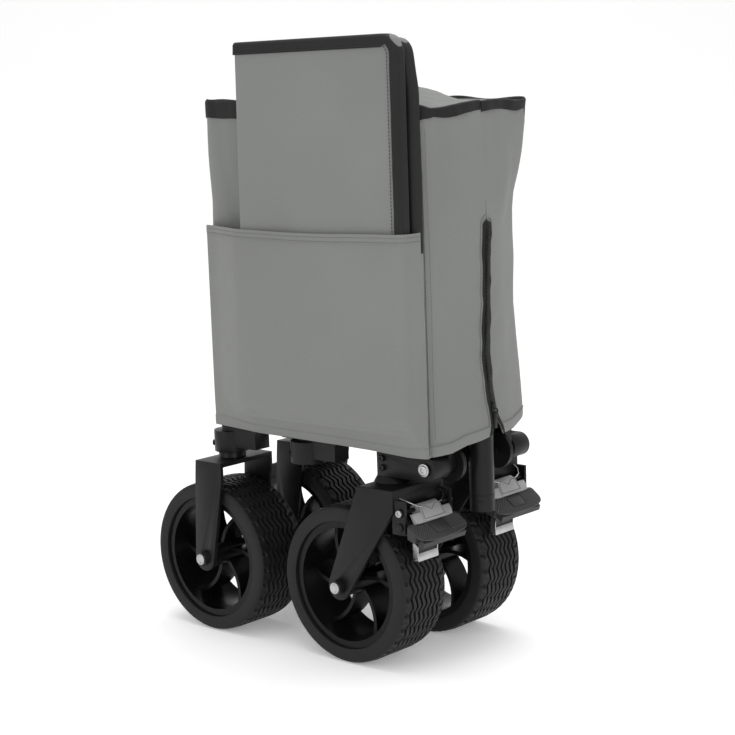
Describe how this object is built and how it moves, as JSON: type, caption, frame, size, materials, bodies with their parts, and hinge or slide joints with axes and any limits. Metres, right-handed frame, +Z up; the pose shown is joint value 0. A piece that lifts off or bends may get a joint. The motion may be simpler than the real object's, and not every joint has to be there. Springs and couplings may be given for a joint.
{
  "type": "folding camp wagon",
  "caption": "Folding wagon stood upright under a fabric cover: wide wheels, swivelling braked front forks, scissor side frames, a telescoping pull handle and a mat in the pocket.",
  "frame": {"origin": "on the floor under the middle of the whole object's bounding box", "axes": "+X forward to the pull-handle end, +Y to the left side, +Z up"},
  "size_m": [0.4908, 0.2746, 0.768],
  "materials": {
    "black_frame": "satin black powder coat",
    "tyre_tread": "matte moulded tyre with a fine surface grain",
    "wheel_plastic": "satin moulded black plastic",
    "bright_steel": "zinc-plated steel",
    "pedal_rubber": "ribbed black moulding",
    "release_grey": "grey moulded plastic",
    "handle_black": "satin black powder coat",
    "black_webbing": "woven polyester tape",
    "grey_fabric": "coated polyester oxford cloth"
  },
  "bodies": {
    "rear_right_corner": {"post_rear_right": "black_frame", "fork_rear_right": "black_frame", "axle_rear_right": "bright_steel"},
    "middle_right_post": {"post_mid_right": "black_frame"},
    "front_right_corner": {"post_front_right": "black_frame", "swivel_bearing_right": "wheel_plastic", "front_upright_right": "black_frame"},
    "rear_left_corner": {"post_rear_left": "black_frame", "fork_rear_left": "black_frame", "axle_rear_left": "bright_steel"},
    "middle_left_post": {"post_mid_left": "black_frame"},
    "front_left_corner": {"post_front_left": "black_frame", "swivel_bearing_left": "wheel_plastic", "front_upright_left": "black_frame"},
    "rear_right_top": {"slide_rear_right": "black_frame", "folded_liner": "grey_fabric"},
    "rear_left_top": {"slide_rear_left": "black_frame"},
    "middle_right_top": {"slide_mid_right": "black_frame"},
    "middle_left_top": {"slide_mid_left": "black_frame"},
    "front_right_top": {"slide_front_right": "black_frame"},
    "front_left_top": {"slide_front_left": "black_frame"},
    "right_rear_rising_arm": {"arm_right_rear_rising": "black_frame"},
    "right_rear_falling_arm": {"arm_right_rear_falling": "black_frame"},
    "right_front_rising_arm": {"arm_right_front_rising": "black_frame"},
    "right_front_falling_arm": {"arm_right_front_falling": "black_frame"},
    "left_rear_rising_arm": {"arm_left_rear_rising": "black_frame"},
    "left_rear_falling_arm": {"arm_left_rear_falling": "black_frame"},
    "left_front_rising_arm": {"arm_left_front_rising": "black_frame"},
    "left_front_falling_arm": {"arm_left_front_falling": "black_frame"},
    "end_rear_rising_arm": {"arm_end_rear_rising": "black_frame"},
    "end_rear_falling_arm": {"arm_end_rear_falling": "black_frame"},
    "end_front_rising_arm": {"arm_end_front_rising": "black_frame"},
    "end_front_falling_arm": {"arm_end_front_falling": "black_frame"},
    "rear_right_wheel": {"tyre_rear_right": "tyre_tread", "rim_rear_right": "wheel_plastic"},
    "rear_left_wheel": {"tyre_rear_left": "tyre_tread", "rim_rear_left": "wheel_plastic"},
    "front_right_caster": {"fork_front_right": "black_frame", "axle_front_right": "bright_steel"},
    "front_right_wheel": {"tyre_front_right": "tyre_tread", "rim_front_right": "wheel_plastic"},
    "front_right_brake": {"brake_pedal_right": "pedal_rubber"},
    "front_right_release": {"release_pedal_right": "release_grey"},
    "front_left_caster": {"fork_front_left": "black_frame", "axle_front_left": "bright_steel"},
    "front_left_wheel": {"tyre_front_left": "tyre_tread", "rim_front_left": "wheel_plastic"},
    "front_left_brake": {"brake_pedal_left": "pedal_rubber"},
    "front_left_release": {"release_pedal_left": "release_grey"},
    "handle_carrier": {"handle_yoke": "handle_black"},
    "pull_handle": {"handle_tube": "handle_black"},
    "handle_extension": {"handle_inner_tube": "handle_black", "handle_grip": "wheel_plastic"},
    "cover": {"cover_shell": "grey_fabric", "cover_top_binding": "black_webbing", "cover_pocket": "grey_fabric", "cover_zip": "black_webbing"},
    "mat": {"floor_mat": "grey_fabric"}
  },
  "joints": [
    {"name": "unfold", "type": "hinge", "parent": "rear_right_corner", "child": "right_rear_rising_arm", "pos_m": [-0.0844, -0.07225, 0.28], "axis": [0, 1, 0], "range_deg": [0, 46], "deforming": ["cover_shell", "cover_top_binding", "cover_pocket", "cover_zip", "folded_liner"]},
    {"name": "right_rear_centre", "type": "hinge", "parent": "right_rear_rising_arm", "child": "right_rear_falling_arm", "pos_m": [-0.0509, -0.07225, 0.47312], "axis": [0, 1, 0], "range_deg": [-92, 0]},
    {"name": "right_rear_falling_foot", "type": "hinge", "parent": "right_rear_falling_arm", "child": "middle_right_post", "pos_m": [-0.0174, -0.07225, 0.28], "axis": [0, 1, 0], "range_deg": [0, 46]},
    {"name": "right_rear_falling_head", "type": "hinge", "parent": "right_rear_falling_arm", "child": "rear_right_top", "pos_m": [-0.0844, -0.07225, 0.66623], "axis": [0, 1, 0], "range_deg": [0, 46]},
    {"name": "right_rear_rising_head", "type": "hinge", "parent": "right_rear_rising_arm", "child": "middle_right_top", "pos_m": [-0.0174, -0.07225, 0.66623], "axis": [0, 1, 0], "range_deg": [-46, 0]},
    {"name": "right_front_rising_pivot", "type": "hinge", "parent": "middle_right_post", "child": "right_front_rising_arm", "pos_m": [0.0556, -0.07225, 0.28], "axis": [0, 1, 0], "range_deg": [0, 46]},
    {"name": "right_front_centre", "type": "hinge", "parent": "right_front_rising_arm", "child": "right_front_falling_arm", "pos_m": [0.0891, -0.07225, 0.47312], "axis": [0, 1, 0], "range_deg": [-92, 0]},
    {"name": "right_front_falling_foot", "type": "hinge", "parent": "right_front_falling_arm", "child": "front_right_corner", "pos_m": [0.1226, -0.07225, 0.28], "axis": [0, 1, 0], "range_deg": [0, 46]},
    {"name": "right_front_rising_head", "type": "hinge", "parent": "right_front_rising_arm", "child": "front_right_top", "pos_m": [0.1226, -0.07225, 0.66623], "axis": [0, 1, 0], "range_deg": [-46, 0]},
    {"name": "end_front_rising_pivot", "type": "hinge", "parent": "front_right_corner", "child": "end_front_rising_arm", "pos_m": [0.1466, -0.02875, 0.28], "axis": [-1, 0, 0], "range_deg": [0, 46]},
    {"name": "end_front_centre", "type": "hinge", "parent": "end_front_rising_arm", "child": "end_front_falling_arm", "pos_m": [0.1466, 0.00475, 0.47312], "axis": [-1, 0, 0], "range_deg": [-92, 0]},
    {"name": "end_front_falling_foot", "type": "hinge", "parent": "end_front_falling_arm", "child": "front_left_corner", "pos_m": [0.1466, 0.03825, 0.28], "axis": [-1, 0, 0], "range_deg": [0, 46]},
    {"name": "end_front_rising_head", "type": "hinge", "parent": "end_front_rising_arm", "child": "front_left_top", "pos_m": [0.1466, 0.03825, 0.66623], "axis": [-1, 0, 0], "range_deg": [-46, 0]},
    {"name": "end_rear_rising_pivot", "type": "hinge", "parent": "rear_right_corner", "child": "end_rear_rising_arm", "pos_m": [-0.1334, -0.02875, 0.28], "axis": [-1, 0, 0], "range_deg": [0, 46]},
    {"name": "end_rear_centre", "type": "hinge", "parent": "end_rear_rising_arm", "child": "end_rear_falling_arm", "pos_m": [-0.1334, 0.00475, 0.47312], "axis": [-1, 0, 0], "range_deg": [-92, 0]},
    {"name": "end_rear_falling_foot", "type": "hinge", "parent": "end_rear_falling_arm", "child": "rear_left_corner", "pos_m": [-0.1334, 0.03825, 0.28], "axis": [-1, 0, 0], "range_deg": [0, 46]},
    {"name": "end_rear_rising_head", "type": "hinge", "parent": "end_rear_rising_arm", "child": "rear_left_top", "pos_m": [-0.1334, 0.03825, 0.66623], "axis": [-1, 0, 0], "range_deg": [-46, 0]},
    {"name": "left_rear_rising_pivot", "type": "hinge", "parent": "rear_left_corner", "child": "left_rear_rising_arm", "pos_m": [-0.0844, 0.08175, 0.28], "axis": [0, 1, 0], "range_deg": [0, 46]},
    {"name": "left_rear_centre", "type": "hinge", "parent": "left_rear_rising_arm", "child": "left_rear_falling_arm", "pos_m": [-0.0509, 0.08175, 0.47312], "axis": [0, 1, 0], "range_deg": [-92, 0]},
    {"name": "left_rear_falling_foot", "type": "hinge", "parent": "left_rear_falling_arm", "child": "middle_left_post", "pos_m": [-0.0174, 0.08175, 0.28], "axis": [0, 1, 0], "range_deg": [0, 46]},
    {"name": "left_rear_rising_head", "type": "hinge", "parent": "left_rear_rising_arm", "child": "middle_left_top", "pos_m": [-0.0174, 0.08175, 0.66623], "axis": [0, 1, 0], "range_deg": [-46, 0]},
    {"name": "left_front_rising_pivot", "type": "hinge", "parent": "middle_left_post", "child": "left_front_rising_arm", "pos_m": [0.0556, 0.08175, 0.28], "axis": [0, 1, 0], "range_deg": [0, 46]},
    {"name": "left_front_centre", "type": "hinge", "parent": "left_front_rising_arm", "child": "left_front_falling_arm", "pos_m": [0.0891, 0.08175, 0.47312], "axis": [0, 1, 0], "range_deg": [-92, 0]},
    {"name": "rear_right_wheel_spin", "type": "hinge", "parent": "rear_right_corner", "child": "rear_right_wheel", "pos_m": [-0.1454, -0.07225, 0.1], "axis": [0, 1, 0], "continuous": true},
    {"name": "rear_left_wheel_spin", "type": "hinge", "parent": "rear_left_corner", "child": "rear_left_wheel", "pos_m": [-0.1454, 0.08175, 0.1], "axis": [0, 1, 0], "continuous": true},
    {"name": "front_right_swivel", "type": "hinge", "parent": "front_right_corner", "child": "front_right_caster", "pos_m": [0.1466, -0.07225, 0.232], "axis": [0, 0, 1], "range_deg": [-8, 90]},
    {"name": "front_right_wheel_spin", "type": "hinge", "parent": "front_right_caster", "child": "front_right_wheel", "pos_m": [0.0946, -0.07225, 0.1], "axis": [0, 1, 0], "continuous": true},
    {"name": "front_right_brake_press", "type": "hinge", "parent": "front_right_caster", "child": "front_right_brake", "pos_m": [0.1946, -0.07225, 0.188], "axis": [0, 1, 0], "range_deg": [0, 6]},
    {"name": "front_right_release_rise", "type": "hinge", "parent": "front_right_caster", "child": "front_right_release", "pos_m": [0.1956, -0.07225, 0.206], "axis": [0, 1, 0], "range_deg": [-6, 0]},
    {"name": "front_left_swivel", "type": "hinge", "parent": "front_left_corner", "child": "front_left_caster", "pos_m": [0.1466, 0.08175, 0.232], "axis": [0, 0, -1], "range_deg": [-8, 90]},
    {"name": "front_left_wheel_spin", "type": "hinge", "parent": "front_left_caster", "child": "front_left_wheel", "pos_m": [0.0946, 0.08175, 0.1], "axis": [0, 1, 0], "continuous": true},
    {"name": "front_left_brake_press", "type": "hinge", "parent": "front_left_caster", "child": "front_left_brake", "pos_m": [0.1946, 0.08175, 0.188], "axis": [0, 1, 0], "range_deg": [0, 6]},
    {"name": "front_left_release_rise", "type": "hinge", "parent": "front_left_caster", "child": "front_left_release", "pos_m": [0.1956, 0.08175, 0.206], "axis": [0, 1, 0], "range_deg": [-6, 0]},
    {"name": "handle_carrier_pivot", "type": "hinge", "parent": "end_front_rising_arm", "child": "handle_carrier", "pos_m": [0.1466, 0.00475, 0.47312], "axis": [-1, 0, 0], "range_deg": [-46, 0]},
    {"name": "handle_swing", "type": "hinge", "parent": "handle_carrier", "child": "pull_handle", "pos_m": [0.1931, 0.00475, 0.258], "axis": [0, 1, 0], "range_deg": [0, 75]},
    {"name": "handle_extend", "type": "slide", "parent": "pull_handle", "child": "handle_extension", "axis": [0, 0, 1], "range_m": [0, 0.3]},
    {"name": "cover_lift", "type": "slide", "parent": "rear_right_corner", "child": "cover", "axis": [0, 0, 1], "range_m": [0, 0.46]},
    {"name": "mat_lift", "type": "slide", "parent": "cover", "child": "mat", "axis": [0, 0, 1], "range_m": [0, 0.24]}
  ],
  "couplings": [
    {"joint": "right_rear_centre", "follows": "unfold", "ratio": -2},
    {"joint": "right_rear_falling_foot", "follows": "unfold", "ratio": 1},
    {"joint": "right_rear_falling_head", "follows": "unfold", "ratio": 1},
    {"joint": "right_rear_rising_head", "follows": "unfold", "ratio": -1},
    {"joint": "right_front_rising_pivot", "follows": "unfold", "ratio": 1},
    {"joint": "right_front_centre", "follows": "unfold", "ratio": -2},
    {"joint": "right_front_falling_foot", "follows": "unfold", "ratio": 1},
    {"joint": "right_front_rising_head", "follows": "unfold", "ratio": -1},
    {"joint": "end_front_rising_pivot", "follows": "unfold", "ratio": 1},
    {"joint": "end_front_centre", "follows": "unfold", "ratio": -2},
    {"joint": "end_front_falling_foot", "follows": "unfold", "ratio": 1},
    {"joint": "end_front_rising_head", "follows": "unfold", "ratio": -1},
    {"joint": "end_rear_rising_pivot", "follows": "unfold", "ratio": 1},
    {"joint": "end_rear_centre", "follows": "unfold", "ratio": -2},
    {"joint": "end_rear_falling_foot", "follows": "unfold", "ratio": 1},
    {"joint": "end_rear_rising_head", "follows": "unfold", "ratio": -1},
    {"joint": "left_rear_rising_pivot", "follows": "unfold", "ratio": 1},
    {"joint": "left_rear_centre", "follows": "unfold", "ratio": -2},
    {"joint": "left_rear_falling_foot", "follows": "unfold", "ratio": 1},
    {"joint": "left_rear_rising_head", "follows": "unfold", "ratio": -1},
    {"joint": "left_front_rising_pivot", "follows": "unfold", "ratio": 1},
    {"joint": "left_front_centre", "follows": "unfold", "ratio": -2},
    {"joint": "front_right_release_rise", "follows": "front_right_brake_press", "ratio": -1},
    {"joint": "front_left_release_rise", "follows": "front_left_brake_press", "ratio": -1},
    {"joint": "handle_carrier_pivot", "follows": "unfold", "ratio": -1},
    {"joint": "handle_swing", "follows": "unfold", "ratio": 1.6304},
    {"joint": "handle_extend", "follows": "unfold", "m_per_rad": 0.37367},
    {"joint": "cover_lift", "follows": "unfold", "m_per_rad": 0.57296}
  ]
}
